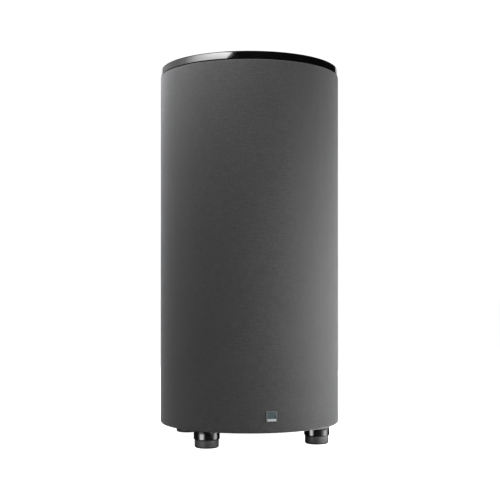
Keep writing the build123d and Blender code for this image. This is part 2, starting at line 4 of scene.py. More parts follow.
import bpy
import numpy as np
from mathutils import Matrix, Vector

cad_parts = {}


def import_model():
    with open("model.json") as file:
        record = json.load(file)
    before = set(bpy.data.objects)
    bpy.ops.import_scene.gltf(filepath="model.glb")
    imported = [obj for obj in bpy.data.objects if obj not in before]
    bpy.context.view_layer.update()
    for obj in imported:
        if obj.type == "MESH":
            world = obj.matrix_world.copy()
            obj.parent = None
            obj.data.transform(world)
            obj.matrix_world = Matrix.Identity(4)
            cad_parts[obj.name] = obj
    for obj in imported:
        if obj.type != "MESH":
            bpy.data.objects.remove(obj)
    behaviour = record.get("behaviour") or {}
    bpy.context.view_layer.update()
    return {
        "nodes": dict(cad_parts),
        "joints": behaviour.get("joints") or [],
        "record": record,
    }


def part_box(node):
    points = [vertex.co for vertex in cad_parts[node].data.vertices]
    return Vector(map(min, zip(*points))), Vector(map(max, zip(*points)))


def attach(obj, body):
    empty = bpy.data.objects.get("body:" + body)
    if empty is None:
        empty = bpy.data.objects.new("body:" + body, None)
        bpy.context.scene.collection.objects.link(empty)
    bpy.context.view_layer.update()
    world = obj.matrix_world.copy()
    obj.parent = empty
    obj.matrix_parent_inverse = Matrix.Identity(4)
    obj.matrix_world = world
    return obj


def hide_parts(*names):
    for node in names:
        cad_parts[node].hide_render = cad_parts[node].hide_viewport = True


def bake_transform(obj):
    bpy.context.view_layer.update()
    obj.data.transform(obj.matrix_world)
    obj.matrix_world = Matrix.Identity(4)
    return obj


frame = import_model()
record = frame["record"]
joints = {j["name"]: j for j in frame["joints"]}

# --- sizes, in metres, worked out from the frame --------------------------------------------
MM = 0.001
WRAP_LOW, WRAP_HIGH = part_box("fabric_wrap")
CAP_LOW, CAP_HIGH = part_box("top_cap")
BEZEL_LOW, BEZEL_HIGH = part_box("amp_bezel")
PANEL_LOW, PANEL_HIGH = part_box("amp_panel")
R = WRAP_HIGH.x                         # fabric surface
FOOT_TOP = WRAP_LOW.z                   # underside of the cabinet
TUBE_R = CAP_HIGH.x                     # outside of the tube and of the top disc
COIL_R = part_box("coil_former")[1].x     # outside of the voice coil's former
PORT_WALL = 3 * MM
PANEL_FACE = PANEL_HIGH.y               # outer face of the amplifier's panel
AMP_Z = (PANEL_LOW.z + PANEL_HIGH.z) / 2
TINY = 1e-6


# --- mesh helpers -----------------------------------------------------------------------------
def add_mesh(name, points, faces, material, sharp=40.0):
    """A smooth-shaded mesh object, with its edges sharp beyond the given angle in degrees."""
    mesh = bpy.data.meshes.new(name)
    mesh.from_pydata([tuple(p) for p in points], [], faces)
    mesh.validate()
    mesh.polygons.foreach_set("use_smooth", [True] * len(mesh.polygons))
    mesh.set_sharp_from_angle(angle=math.radians(sharp))
    mesh.materials.append(material)
    made = bpy.data.objects.new(name, mesh)
    bpy.context.scene.collection.objects.link(made)
    return made


def rounded(corners, steps=6):
    """A closed outline in (radius, height). Each corner is (radius, height, rounding)."""
    made = []
    for i, (r, z, rounding) in enumerate(corners):
        here = Vector((r, z))
        if not rounding:
            made.append(here)
            continue
        before = (Vector(corners[i - 1][:2]) - here).normalized()
        after = (Vector(corners[(i + 1) % len(corners)][:2]) - here).normalized()
        half = before.angle(after) / 2
        centre = here + (before + after).normalized() * rounding / math.sin(half)
        first = here + before * rounding / math.tan(half) - centre
        last = here + after * rounding / math.tan(half) - centre
        start = math.atan2(first.y, first.x)
        turn = (math.atan2(last.y, last.x) - start + math.pi) % (2 * math.pi) - math.pi
        for k in range(steps + 1):
            angle = start + turn * k / steps
            made.append(centre + rounding * Vector((math.cos(angle), math.sin(angle))))
    return made


def arc(cr, cz, radius, start, end, steps):
    """Points on a circle in (radius, height), from start to end in degrees."""
    angles = np.radians(np.linspace(start, end, steps + 1))
    return [Vector((cr + radius * math.cos(a), cz + radius * math.sin(a))) for a in angles]


def turned(outline, segments, x=0.0, y=0.0):
    """Points and faces of a closed outline turned about an upright axis at x, y."""
    points, faces, rows = [], [], []
    for r, z in outline:
        if r < TINY:
            rows.append([len(points)] * segments)
            points.append((x, y, z))
            continue
        rows.append(list(range(len(points), len(points) + segments)))
        for k in range(segments):
            angle = 2 * math.pi * k / segments
            points.append((x + r * math.cos(angle), y + r * math.sin(angle), z))
    for i, row in enumerate(rows):
        after = rows[(i + 1) % len(rows)]
        for k in range(segments):
            n = (k + 1) % segments
            corners = [row[k], row[n], after[n], after[k]]
            corners = [c for j, c in enumerate(corners) if c != corners[j - 1]]
            if len(corners) > 2:
                faces.append(corners)
    return points, faces


def box_mesh(low, high, points, faces):
    """Adds a box between two corners to a growing list of points and faces."""
    first = len(points)
    for z in (low[2], high[2]):
        points += [(low[0], low[1], z), (high[0], low[1], z), (high[0], high[1], z), (low[0], high[1], z)]
    for quad in ((3, 2, 1, 0), (4, 5, 6, 7), (0, 1, 5, 4), (1, 2, 6, 5), (2, 3, 7, 6), (3, 0, 4, 7)):
        faces.append([first + q for q in quad])


def tube_mesh(path, radius, sides, points, faces):
    """Adds a round tube with capped ends along a list of points."""
    first = len(points)
    for i, here in enumerate(path):
        along = (path[min(i + 1, len(path) - 1)] - path[max(i - 1, 0)]).normalized()
        side = along.orthogonal().normalized() if i == 0 else (side - side.project(along)).normalized()
        up = along.cross(side)
        for k in range(sides):
            angle = 2 * math.pi * k / sides
            points.append(here + radius * (side * math.cos(angle) + up * math.sin(angle)))
    for i in range(len(path) - 1):
        for k in range(sides):
            a, b = first + i * sides + k, first + i * sides + (k + 1) % sides
            faces.append([a, b, b + sides, a + sides])
    faces.append([first + k for k in reversed(range(sides))])
    faces.append([first + (len(path) - 1) * sides + k for k in range(sides)])


# --- material helpers -------------------------------------------------------------------------
class Look:
    """One material, with steps that add colour variation, roughness and relief to its shader."""

    def __init__(self, name, colour, roughness, metallic=0.0, coords=None, **constants):
        self.material = bpy.data.materials.new(name)
        self.material.use_nodes = True
        self.nodes = self.material.node_tree.nodes
        self.shader = self.nodes["Principled BSDF"]
        self.shader.inputs["Base Color"].default_value = (*colour, 1.0)
        self.shader.inputs["Roughness"].default_value = roughness
        self.shader.inputs["Metallic"].default_value = metallic
        for key, value in constants.items():
            self.shader.inputs[key.replace("_", " ").title().replace("Ior", "IOR")].default_value = value
        self.colour, self.roughness = colour, roughness
        self.coords = self.add("ShaderNodeTexCoord").outputs["Object"]
        if coords:
            self.coords = coords(self)
        self.relief = None

    def add(self, kind, *inputs, **settings):
        """A node with its settings, and its first inputs linked or filled in order."""
        node = self.nodes.new(kind)
        for key, value in settings.items():
            setattr(node, key, value)
        for socket, value in zip(node.inputs, inputs):
            self.fill(socket, value)
        return node

    def fill(self, socket, value):
        """Links an output to a socket, or sets the socket to a value."""
        if isinstance(value, bpy.types.NodeSocket):
            self.material.node_tree.links.new(value, socket)
        elif value is not None:
            socket.default_value = value

    def math(self, operation, *values):
        """The result of a math node on numbers and outputs."""
        return self.add("ShaderNodeMath", *values, operation=operation).outputs[0]

    def stretched(self, factors):
        """The coordinates multiplied by a factor along each axis."""
        node = self.add("ShaderNodeVectorMath", self.coords, tuple(factors), operation="MULTIPLY")
        return node.outputs[0]

    def noise(self, scale, detail=3.0, stretch=None):
        """Soft noise from 0 to 1, with about scale lumps to the metre."""
        node = self.add("ShaderNodeTexNoise")
        self.fill(node.inputs["Vector"], self.stretched(stretch) if stretch else self.coords)
        node.inputs["Scale"].default_value = scale
        node.inputs["Detail"].default_value = detail
        node.inputs["Roughness"].default_value = 0.55
        return node.outputs[0]

    def cells(self, scale):
        """The distance to the nearest of many scattered points."""
        node = self.add("ShaderNodeTexVoronoi")
        self.fill(node.inputs["Vector"], self.coords)
        node.inputs["Scale"].default_value = scale
        return node.outputs["Distance"]

    def between(self, factor, low, high, start=0.3, end=0.7):
        """A number or colour that goes from low to high as factor goes from start to end."""
        if isinstance(low, (int, float)):
            node = self.add("ShaderNodeMapRange", factor, start, end, low, high)
            return node.outputs[0]
        ramp = self.add("ShaderNodeValToRGB", factor)
        ramp.color_ramp.elements[0].position = start
        ramp.color_ramp.elements[1].position = end
        ramp.color_ramp.elements[0].color = (*low, 1.0)
        ramp.color_ramp.elements[1].color = (*high, 1.0)
        return ramp.outputs[0]

    def blend(self, factor, first, second, mode="MIX"):
        """Two colours mixed by a factor."""
        node = self.add("ShaderNodeMix", data_type="RGBA", blend_type=mode)
        colours = [s for s in node.inputs if s.type == "RGBA"]
        self.fill(node.inputs["Factor"], factor)
        for socket, value in zip(colours, (first, second)):
            self.fill(socket, (*value, 1.0) if isinstance(value, tuple) else value)
        return next(s for s in node.outputs if s.type == "RGBA")

    def paint(self, value):
        """Uses an output as the base colour."""
        self.fill(self.shader.inputs["Base Color"], value)
        return self

    def tint(self, base, *shades):
        """Uses a colour, multiplied by one or more numbers, as the base colour."""
        shade = shades[0]
        for other in shades[1:]:
            shade = self.math("MULTIPLY", shade, other)
        tone = self.add("ShaderNodeCombineXYZ", shade, shade, shade).outputs[0]
        return self.paint(self.blend(1.0, base, tone, "MULTIPLY"))

    def mottle(self, amount=0.25, scale=40.0, stretch=None):
        """Lets the base colour drift by a share of itself."""
        low = tuple(c * (1 - amount) for c in self.colour)
        high = tuple(min(1.0, c * (1 + amount)) for c in self.colour)
        return self.paint(self.between(self.noise(scale, stretch=stretch), low, high))

    def patina(self, spread=0.08, scale=25.0, stretch=None):
        """Lets the roughness drift, as handling and dust leave it."""
        low, high = max(0.02, self.roughness - spread), min(1.0, self.roughness + spread)
        self.fill(self.shader.inputs["Roughness"],
                  self.between(self.noise(scale, 5.0, stretch=stretch), low, high))
        return self

    def bump(self, height, depth):
        """Relief of the given depth in metres, on top of what is there."""
        node = self.add("ShaderNodeBump")
        node.inputs["Distance"].default_value = depth
        node.inputs["Strength"].default_value = 1.0
        self.fill(node.inputs["Height"], height)
        if self.relief:
            self.fill(node.inputs["Normal"], self.relief)
        self.relief = node.outputs[0]
        self.fill(self.shader.inputs["Normal"], self.relief)
        return self

    def grain(self, scale, depth, stretch=None):
        """Relief from noise."""
        return self.bump(self.noise(scale, 4.0, stretch=stretch), depth)


def wrapped(look):
    """Coordinates laid on the cylinder: along the girth, up, and out, all in metres."""
    split = look.add("ShaderNodeSeparateXYZ", look.coords).outputs
    girth = look.math("MULTIPLY", look.math("ARCTAN2", split[0], split[1]), R)
    return look.add("ShaderNodeCombineXYZ", girth, split[2]).outputs[0]


def polar(look):
    """Coordinates about the vertical axis: distance out, then angle, then height."""
    split = look.add("ShaderNodeSeparateXYZ", look.coords).outputs
    squares = look.math("ADD", look.math("POWER", split[0], 2.0), look.math("POWER", split[1], 2.0))
    angle = look.math("ARCTAN2", split[0], split[1])
    return look.add("ShaderNodeCombineXYZ", look.math("SQRT", squares), angle, split[2]).outputs[0]


# --- materials --------------------------------------------------------------------------------
WALES = 1760                            # ribs of the knit round the cylinder
COURSE = 0.62 * MM                      # height of one row of stitches


def stretch_fabric():
    """A fine, even knit: two legs to each rib, rows that rise into a V, yarn of uneven thickness, and painted
    shade in the grooves between the stitches.
    """
    look = Look("stretch_fabric", (0.038, 0.0375, 0.037), 0.86, coords=wrapped,
                sheen_weight=0.55, sheen_roughness=0.42, specular_ior_level=0.25)
    look.shader.inputs["Sheen Tint"].default_value = (0.95, 0.96, 1.0, 1.0)
    split = look.add("ShaderNodeSeparateXYZ", look.coords).outputs
    rib = look.math("PINGPONG", look.math("MULTIPLY", split[0], WALES / (math.pi * R)), 1.0)
    rows = look.math("ADD", look.math("DIVIDE", split[1], COURSE), look.math("MULTIPLY", rib, 0.5))
    wave = look.math("SINE", look.math("MULTIPLY", rows, 2 * math.pi))
    leg = look.math("SINE", look.math("MULTIPLY", rib, math.pi))
    stitch = look.math("MULTIPLY", leg, look.math("MULTIPLY_ADD", wave, 0.3, 0.7))
    yarn = look.between(look.noise(900.0, 2.0, stretch=(1.0, 0.25, 1.0)), 0.82, 1.18)
    slubs = look.between(look.noise(150.0, 3.0, stretch=(0.35, 2.0, 1.0)), 0.9, 1.1, 0.35, 0.65)
    ladder = look.between(look.noise(150.0, 3.0, stretch=(2.0, 0.35, 1.0)), 0.92, 1.08, 0.35, 0.65)
    drift = look.between(look.noise(9.0, 3.0), 0.96, 1.04)
    # painted shade: the base colour is darker in the grooves between the stitches and lighter on their legs
    depth = look.between(stitch, 0.72, 1.12, 0.0, 1.0)
    look.tint(look.colour, yarn, depth, slubs, ladder, drift)
    return look.bump(stitch, 0.12 * MM).grain(420.0, 0.05 * MM).material


def gloss_lacquer():
    """Black piano lacquer: a clear coat with the faintest orange peel and wiping marks."""
    look = Look("gloss_lacquer", (0.002, 0.002, 0.0022), 0.12, coat_weight=1.0, coat_roughness=0.03,
                specular_ior_level=0.5)
    look.mottle(0.3, 18.0).patina(0.05, 22.0)
    return look.grain(90.0, 0.008 * MM).material


def moulded(name, colour, roughness, grain=900.0, depth=0.03 * MM, amount=0.18, **constants):
    """Moulded plastic or rubber: a fine spark-eroded grain, uneven colour and a handled sheen."""
    look = Look(name, colour, roughness, **constants)
    look.mottle(amount, 55.0).patina(0.09, 38.0)
    return look.grain(grain, depth).grain(grain / 9, depth / 2).material


def metal(name, colour, roughness, stretch=(1.0, 1.0, 60.0), scale=60.0):
    """Metal with the fine lines of its finishing, along the axes that aren't stretched."""
    look = Look(name, colour, roughness, metallic=1.0)
    look.mottle(0.12, scale, stretch).patina(0.1, scale / 2, stretch)
    return look.grain(scale * 2, 0.01 * MM, stretch).material


def spun_metal(name, colour, roughness, pitch=0.35 * MM, depth=0.012 * MM):
    """Metal turned on a lathe or wire laid in rings: fine lines about the axis."""
    look = Look(name, colour, roughness, metallic=1.0, coords=polar)
    split = look.add("ShaderNodeSeparateXYZ", look.coords).outputs
    rings = look.math("MULTIPLY", look.math("ADD", split[0], split[2]), 2 * math.pi / pitch)
    look.mottle(0.15, 30.0).patina(0.08, 45.0)
    return look.bump(look.math("SINE", rings), depth).material


def board(name, colour, roughness=0.8, depth=0.12 * MM):
    """Pressed wood fibre: short flecks and a slightly fuzzy face."""
    look = Look(name, colour, roughness)
    flecks = look.between(look.noise(700.0, 3.0, stretch=(1.0, 1.0, 3.0)), 0.7, 1.2)
    clouds = look.between(look.noise(30.0, 4.0), 0.9, 1.08)
    look.tint(look.colour, flecks, clouds)
    return look.patina(0.08, 60.0).grain(650.0, depth).material


def pulp(name, colour):
    """Pressed paper pulp, coated: felted fibres and a low waxy sheen."""
    look = Look(name, colour, 0.62, specular_ior_level=0.4)
    look.mottle(0.35, 160.0, (1.0, 1.0, 2.0)).patina(0.12, 90.0)
    look.bump(look.cells(420.0), 0.08 * MM)
    return look.grain(900.0, 0.08 * MM).material


def woven(name, colour, pitch):
    """Open cotton cloth, stiffened with resin: threads that cross at right angles."""
    look = Look(name, colour, 0.7, sheen_weight=0.2, sheen_roughness=0.5)
    split = look.add("ShaderNodeSeparateXYZ", look.coords).outputs
    warp = look.math("SINE", look.math("MULTIPLY", split[0], 2 * math.pi / pitch))
    weft = look.math("SINE", look.math("MULTIPLY", split[1], 2 * math.pi / pitch))
    return look.mottle(0.25, 120.0).bump(look.math("MAXIMUM", warp, weft), 0.2 * MM).material


def fluff():
    """Crimped white polyester fibres."""
    look = Look("polyester_wadding", (0.72, 0.72, 0.69), 0.95, sheen_weight=0.4, sheen_roughness=0.6)
    look.mottle(0.15, 60.0, (1.0, 1.0, 0.4))
    return look.grain(300.0, 0.8 * MM, (1.0, 1.0, 0.3)).grain(60.0, 3 * MM).material


def circuit():
    """Green solder mask over copper tracks, with pads."""
    look = Look("circuit_board", (0.012, 0.11, 0.045), 0.35, coat_weight=0.4, coat_roughness=0.2)
    track = look.add("ShaderNodeTexBrick", offset=0.5)
    look.fill(track.inputs["Vector"], look.coords)
    track.inputs["Scale"].default_value = 90.0
    track.inputs["Mortar Size"].default_value = 0.04
    pads = look.between(look.cells(260.0), 1.0, 0.0, 0.10, 0.14)
    traced = look.blend(track.outputs["Fac"], look.colour, (0.03, 0.2, 0.09))
    look.paint(look.blend(pads, traced, (0.62, 0.6, 0.52)))
    return look.bump(track.outputs["Fac"], 0.05 * MM).patina(0.08, 60.0).material


def ferrite():
    """Sintered ceramic: dark grey, sandy and uneven."""
    look = Look("ferrite", (0.045, 0.045, 0.05), 0.55, specular_ior_level=0.6)
    look.mottle(0.4, 260.0).patina(0.12, 120.0)
    return look.grain(500.0, 0.06 * MM).material


def phono_plastic():
    """Two colours of insulator: white for one channel's column, red for the other."""
    look = Look("phono_insulator", (0.5, 0.03, 0.025), 0.32, coat_weight=0.3, coat_roughness=0.15)
    low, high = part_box("phono_insulators")
    place = look.add("ShaderNodeSeparateXYZ", look.coords).outputs[0]
    column = look.math("GREATER_THAN", place, (low.x + high.x) / 2)
    wear = look.between(look.noise(160.0), 0.85, 1.1)
    look.tint(look.blend(column, look.colour, (0.72, 0.72, 0.7)), wear)
    return look.patina(0.08, 90.0).grain(700.0, 0.02 * MM).material


def smoked():
    """Dark, smooth acrylic, with fine wiping marks."""
    look = Look("smoked_window", (0.006, 0.006, 0.008), 0.12, coat_weight=0.3, coat_roughness=0.02,
                specular_ior_level=0.3)
    return look.mottle(0.3, 40.0).patina(0.05, 60.0).grain(60.0, 0.004 * MM).material


def braided(name, colour):
    """Bare wire braided round a core: slanting turns."""
    look = Look(name, colour, 0.35, metallic=1.0)
    turns = look.add("ShaderNodeTexWave", wave_type="BANDS", bands_direction="DIAGONAL")
    look.fill(turns.inputs["Vector"], look.coords)
    turns.inputs["Scale"].default_value = 900.0
    return look.mottle(0.2, 200.0).bump(turns.outputs["Fac"], 0.15 * MM).material


def ink():
    """Pale grey printing ink, slightly uneven."""
    look = Look("print_ink", (0.52, 0.53, 0.54), 0.6)
    return look.mottle(0.12, 300.0).grain(900.0, 0.01 * MM).material


LOOKS = {
    "stretch_fabric": stretch_fabric(),
    "tube_fibre": board("tube_fibre", (0.3, 0.2, 0.12)),
    "gloss_lacquer": gloss_lacquer(),
    "black_board": board("black_board", (0.018, 0.018, 0.019), 0.6, 0.08 * MM),
    "raw_board": board("raw_board", (0.42, 0.29, 0.17)),
    "polyester_wadding": fluff(),
    "port_plastic": moulded("port_plastic", (0.014, 0.014, 0.015), 0.5, 1100.0, 0.04 * MM),
    "port_tube_plastic": moulded("port_tube_plastic", (0.022, 0.022, 0.024), 0.6),
    "basket_coat": moulded("basket_coat", (0.018, 0.018, 0.02), 0.48, 1300.0, 0.05 * MM),
    "foam_gasket": moulded("foam_gasket", (0.02, 0.02, 0.02), 0.95, 500.0, 0.2 * MM),
    "black_screw": metal("black_screw", (0.03, 0.03, 0.033), 0.42),
    "zinc_steel": spun_metal("zinc_steel", (0.5, 0.5, 0.52), 0.38),
    "ferrite": ferrite(),
    "terminal_plastic": moulded("terminal_plastic", (0.03, 0.03, 0.033), 0.45),
    "surround_rubber": moulded("surround_rubber", (0.012, 0.012, 0.0125), 0.55, 500.0, 0.04 * MM,
                               specular_ior_level=0.6),
    "spider_cloth": woven("spider_cloth", (0.42, 0.25, 0.07), 0.9 * MM),
    "tinsel_braid": braided("tinsel_braid", (0.72, 0.44, 0.26)),
    "lead_jacket": moulded("lead_jacket", (0.3, 0.015, 0.012), 0.4, 400.0, 0.03 * MM),
    "cone_paper": pulp("cone_paper", (0.016, 0.016, 0.017)),
    "coil_former_foil": spun_metal("coil_former_foil", (0.75, 0.75, 0.77), 0.32),
    "enamelled_copper": spun_metal("enamelled_copper", (0.62, 0.24, 0.09), 0.25, 0.5 * MM, 0.1 * MM),
    "bezel_plastic": moulded("bezel_plastic", (0.013, 0.013, 0.014), 0.5, 1000.0, 0.05 * MM),
    "panel_coat": moulded("panel_coat", (0.014, 0.014, 0.015), 0.52, 1500.0, 0.06 * MM, 0.25),
    "grommet_rubber": moulded("grommet_rubber", (0.014, 0.014, 0.014), 0.8),
    "circuit_board": circuit(),
    "heatsink_alloy": metal("heatsink_alloy", (0.04, 0.04, 0.043), 0.42),
    "transformer_core": ferrite(),
    "smoked_window": smoked(),
    "nickel_contact": metal("nickel_contact", (0.68, 0.66, 0.6), 0.2, (1.0, 40.0, 1.0), 90.0),
    "phono_insulator": phono_plastic(),
    "switch_plastic": moulded("switch_plastic", (0.014, 0.014, 0.015), 0.42),
    "lever_plastic": moulded("lever_plastic", (0.05, 0.05, 0.052), 0.45),
    "rocker_plastic": moulded("rocker_plastic", (0.011, 0.011, 0.012), 0.26, 500.0, 0.01 * MM),
    "button_plastic": moulded("button_plastic", (0.02, 0.02, 0.022), 0.38, 900.0, 0.02 * MM),
    "foot_collar_plastic": moulded("foot_collar_plastic", (0.008, 0.008, 0.009), 0.14, 160.0, 0.006 * MM,
                                   coat_weight=0.6, coat_roughness=0.05),
    "foot_rubber": moulded("foot_rubber", (0.034, 0.034, 0.034), 0.5, 600.0, 0.04 * MM),
    "bolt_steel": metal("bolt_steel", (0.5, 0.5, 0.53), 0.35),
    "insert_brass": spun_metal("insert_brass", (0.72, 0.53, 0.22), 0.35, 0.8 * MM, 0.08 * MM),
    "badge_metal": moulded("badge_metal", (0.105, 0.117, 0.12), 0.34, 900.0, 0.01 * MM, 0.1, metallic=0.5),
    "badge_bar": moulded("badge_bar", (0.33, 0.345, 0.355), 0.4, 900.0, 0.01 * MM, 0.1, metallic=0.2),
    "badge_face": moulded("badge_face", (0.03, 0.046, 0.05), 0.34, 500.0, 0.01 * MM, 0.1,
                          coat_weight=0.3, coat_roughness=0.1),
    "print_ink": ink(),
}


def dress_cad():
    """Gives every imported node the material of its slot."""
    for part in record["subparts"]:
        node = frame["nodes"][part["node"]]
        for place in node.material_slots:
            place.material = LOOKS[part["material_slot"]]


def piece(name, points, faces, slot, body="cabinet", node=None, sharp=40.0):
    """A mesh in the material of a slot, riding on a body, that may stand for a CAD node."""
    made = add_mesh(name, points, faces, LOOKS[slot], sharp)
    if body:
        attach(made, body)
    if node:
        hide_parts(node)
    return made


# --- cabinet ----------------------------------------------------------------------------------
def sleeve_outline():
    """Heights and radii of the sleeve, from the lip under the tube to the lip under the cap."""
    low, high = FOOT_TOP, WRAP_HIGH.z - 0.6 * MM
    roll, top_roll = 4.2 * MM, 1.8 * MM
    inner = TUBE_R - 11 * MM
    made = [Vector((inner, low)), Vector(((inner + R - roll) / 2, low))]
    made += arc(R - roll, low + roll, roll, -90, 0, 7)
    made += [Vector((R, z)) for z in np.arange(low + 6 * MM, high - 4 * MM, 7 * MM)]
    made += arc(R - top_roll, high - top_roll, top_roll, 0, 90, 5)
    made.append(Vector((inner + 4 * MM, high)))
    return made


def sleeve_swell(angle, height):
    """How far the cloth stands off its plain cylinder: a soft hem and a trace of tension."""
    hem = 0.6 * MM * math.exp(-(((height - FOOT_TOP - 11 * MM) / (6 * MM)) ** 2))
    waist = 0.12 * MM * math.sin(3 * angle + 14 * height) * math.sin(5 * angle - 9 * height)
    seam = -0.5 * MM * math.exp(-((angle * R / (1.1 * MM)) ** 2)) if height > BEZEL_HIGH.z else 0.0
    return hem + waist + seam


def fabric_sleeve():
    """The knitted sleeve: one sheet round the tube, open where the amplifier sits."""
    half = math.asin((BEZEL_HIGH.x - 5 * MM) / R)
    opening = np.linspace(-half, half, 57)
    around = np.linspace(half, 2 * math.pi - half, 361)[1:-1]
    beside_seam = [side * gap / R for gap in (0.9 * MM, 2.2 * MM) for side in (-1, 1)]
    angles = sorted({*opening, *around, *beside_seam})
    rows = sleeve_outline()
    sill, lintel = BEZEL_LOW.z + 5 * MM, BEZEL_HIGH.z - 5 * MM
    for row in rows:                    # rows nearest the opening move onto its edges
        for edge in (sill, lintel):
            if abs(row.y - edge) < 3.5 * MM:
                row.y = edge
    points, faces = [], []
    for row in rows:
        for angle in angles:
            back = angle if angle < math.pi else angle - 2 * math.pi
            reach = row.x + (sleeve_swell(back, row.y) if row.x > R - 1 * MM else 0.0)
            points.append((reach * math.sin(angle), reach * math.cos(angle), row.y))
    count = len(angles)
    for i in range(len(rows) - 1):
        inside = sill - TINY < rows[i].y and rows[i + 1].y < lintel + TINY
        for k in range(count):
            n = (k + 1) % count
            middle = (angles[k] + angles[n] + (2 * math.pi if n == 0 else 0)) / 2
            middle = (middle + math.pi) % (2 * math.pi) - math.pi
            if inside and abs(middle) < half:
                continue
            faces.append([i * count + n, i * count + k, (i + 1) * count + k, (i + 1) * count + n])
    made = piece("fabric_sleeve", points, faces, "stretch_fabric", node="fabric_wrap", sharp=80.0)
    cloth = made.modifiers.new("thickness", "SOLIDIFY")
    cloth.thickness, cloth.offset = 0.8 * MM, -1.0
    stitches = seam_stitches()


def seam_stitches():
    """The row of small stitches that closes the sleeve above the amplifier."""
    points, faces = [], []
    pitch, beside, thread = 3.2 * MM, 1.6 * MM, 0.22 * MM
    arch = ((0.0, -0.3), (0.5, 0.1), (1.2, 0.2), (1.9, 0.1), (2.4, -0.3))       # up and out, in mm
    low, high = BEZEL_HIGH.z + 4 * MM, WRAP_HIGH.z - 5 * MM
    for i in range(int((high - low) / pitch)):
        z = low + i * pitch
        for side in (-beside, beside):
            path = [Vector((side, R - 0.15 * MM + out * MM, z + up * MM)) for up, out in arch]
            tube_mesh(path, thread, 6, points, faces)
    return piece("sleeve_stitches", points, faces, "stretch_fabric")


def top_disc():
    """The lacquered disc: a side that curves in very slightly, a rounded top edge, an undercut for
    the shadow gap and a seat for the port."""
    port_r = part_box("port_mouth")[1].x
    low, high = WRAP_HIGH.z, CAP_HIGH.z
    spigot = TUBE_R - 12.2 * MM             # fits inside the tube
    lean = 2.5                              # of the side at its top, in degrees
    corner = 2.0 * MM
    gap, inset = 2.3 * MM, 1.2 * MM         # of the shadow gap
    opening, seat_r, seat_z = port_r - 3.5 * MM, port_r + 0.25 * MM, high - 3 * MM
    slope = math.radians(lean)
    side_low, side_high = low + gap, high - corner * (1 - math.sin(slope))
    belly = (side_high - side_low) / math.sin(slope)
    side = arc(TUBE_R - belly, side_low, belly, 0, lean, 8)
    edge = side[-1].x - corner * math.cos(slope)
    # rounded() closes each of the two lists on itself, so the underside dips 0.6 mm before the gap
    # and the top face falls 0.3 mm towards the seat
    outline = rounded([
        (opening, CAP_LOW.z, 0.5 * MM), (spigot, CAP_LOW.z, 0.8 * MM), (spigot, low, 0),
        (TUBE_R - inset, low, 0.3 * MM),
    ])
    outline += side + arc(edge, high - corner, corner, lean, 90, 12)[1:]
    outline += rounded([(seat_r, high, 0.25 * MM), (seat_r, seat_z, 0), (opening, seat_z, 0)])
    piece("top_disc", *turned(outline, 360), "gloss_lacquer", node="top_cap", sharp=30.0)


def flare_outline(low, high, bore, mouth, rim):
    """A flare from its bore at low to its rim at high: a quarter round inside and out."""
    reach = mouth - bore
    sign = 1 if high > low else -1
    start = high - sign * reach
    sweep = (180, 90) if sign > 0 else (180, 270)
    inner = arc(mouth, start, reach, *sweep, 24)
    outer = arc(mouth, start, reach - PORT_WALL, *reversed(sweep), 24)
    shoulder, edge = start - sign * 10 * MM, 0.6 * MM
    socket = bore + PORT_WALL + 0.1 * MM
    skirt = socket + PORT_WALL
    outer = [p for p in outer if p.x > skirt]
    return [
        Vector((bore, shoulder)), *inner, Vector((rim - edge, high)), Vector((rim, high - sign * edge)),
        Vector((rim, high - sign * PORT_WALL)), *outer, Vector((skirt, outer[-1].y - sign * 2 * MM)),
        Vector((skirt, low)), Vector((socket, low)), Vector((socket, shoulder)),
    ]


def port():
    """A flare in the top disc, a straight duct, and a flare at the duct's inner end."""
    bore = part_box("port_tube")[1].x - PORT_WALL
    low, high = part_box("port_mouth")
    outline = flare_outline(low.z, high.z, bore, bore + 30 * MM, high.x)
    piece("port_flare_outer", *turned(outline, 192), "port_plastic", node="port_mouth")
    low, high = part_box("port_inner_flare")
    outline = flare_outline(high.z, low.z, bore, bore + 20 * MM, high.x)
    piece("port_flare_inner", *turned(outline, 128), "port_plastic", node="port_inner_flare")
    low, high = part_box("port_tube")
    ends = ((bore, low.z), (high.x, low.z), (high.x, high.z), (bore, high.z))
    outline = rounded([(*end, 0.4 * MM) for end in ends], 3)
    piece("port_duct", *turned(outline, 128), "port_tube_plastic", node="port_tube")


def wadding():
    """Polyester wool against the tube's wall, lumpy on its inner face."""
    low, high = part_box("acoustic_wadding")
    outer, thick = high.x - 0.6 * MM, 15 * MM
    rows, columns = 38, 168
    last = rows - 1
    points, faces = [], []
    for i in range(rows):
        z = low.z + 1 * MM + (high.z - low.z - 2 * MM) * i / last
        taper = min(1.0, 3.0 * min(i, last - i) / last + 0.45)
        for k in range(columns):
            angle = 2 * math.pi * k / columns
            lump = 0.5 + 0.25 * math.sin(7 * angle + 31 * z) + 0.25 * math.sin(11 * angle - 47 * z + 1.3)
            inner = outer - thick * taper * (0.75 + 0.25 * lump)
            for reach in (outer, inner):
                points.append((reach * math.cos(angle), reach * math.sin(angle), z))

    def at(i, k, inner):
        """The index of a point, from its row, its column and whether it is on the inner face."""
        return 2 * (i * columns + k % columns) + inner

    for k in range(columns):
        for i in range(last):
            faces.append([at(i, k, 0), at(i, k + 1, 0), at(i + 1, k + 1, 0), at(i + 1, k, 0)])
            faces.append([at(i + 1, k, 1), at(i + 1, k + 1, 1), at(i, k + 1, 1), at(i, k, 1)])
        faces.append([at(0, k, 1), at(0, k + 1, 1), at(0, k + 1, 0), at(0, k, 0)])
        faces.append([at(last, k, 0), at(last, k + 1, 0), at(last, k + 1, 1), at(last, k, 1)])
    made = piece("wadding_sleeve", points, faces, "polyester_wadding", node="acoustic_wadding", sharp=60.0)


def suspended(name, outline, slot, node):
    """A ring turned from an outline, left unattached to any body."""
    made = piece(name, *turned(outline, 160), slot, body=None, node=node)
    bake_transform(made)


